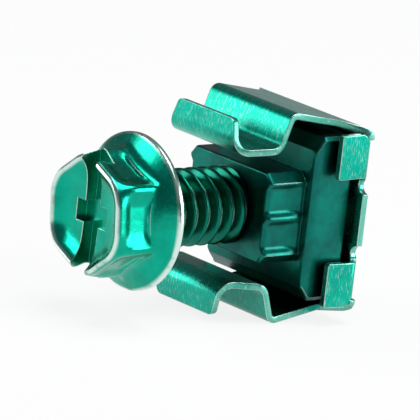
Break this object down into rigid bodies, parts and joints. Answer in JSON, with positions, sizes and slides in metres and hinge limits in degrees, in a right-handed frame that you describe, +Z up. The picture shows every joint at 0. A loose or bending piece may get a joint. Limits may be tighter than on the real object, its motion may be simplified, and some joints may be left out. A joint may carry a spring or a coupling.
{
  "type": "rack cage nut",
  "caption": "Folded spring-steel cage with sprung legs that clip into a square rack hole, holding a loose T-shaped nut and its slotted hex washer-head screw.",
  "frame": {"origin": "centre of the rack's square hole on the screw's axis, midway along the grooves of the two legs", "axes": "+X along the screw from its head into the rack, +Y across the legs, +Z up from the screw to the upper leg"},
  "size_m": [0.0199, 0.0126, 0.015],
  "materials": {
    "cage": "spring steel strip, bright zinc plated and dyed green",
    "nut": "steel, bright zinc plated and dyed green",
    "screw": "cold-headed steel, bright zinc plated and dyed green"
  },
  "bodies": {
    "cage": {"cage": "cage"},
    "nut": {"nut": "nut"},
    "screw": {"screw": "screw"}
  },
  "joints": [
    {"name": "nut_float", "type": "slide", "parent": "cage", "child": "nut", "axis": [0, 1, 0], "range_m": [-0.0004, 0.0004]},
    {"name": "screw_travel", "type": "slide", "parent": "nut", "child": "screw", "axis": [1, 0, 0], "range_m": [-0.00423, 0.00423]}
  ]
}
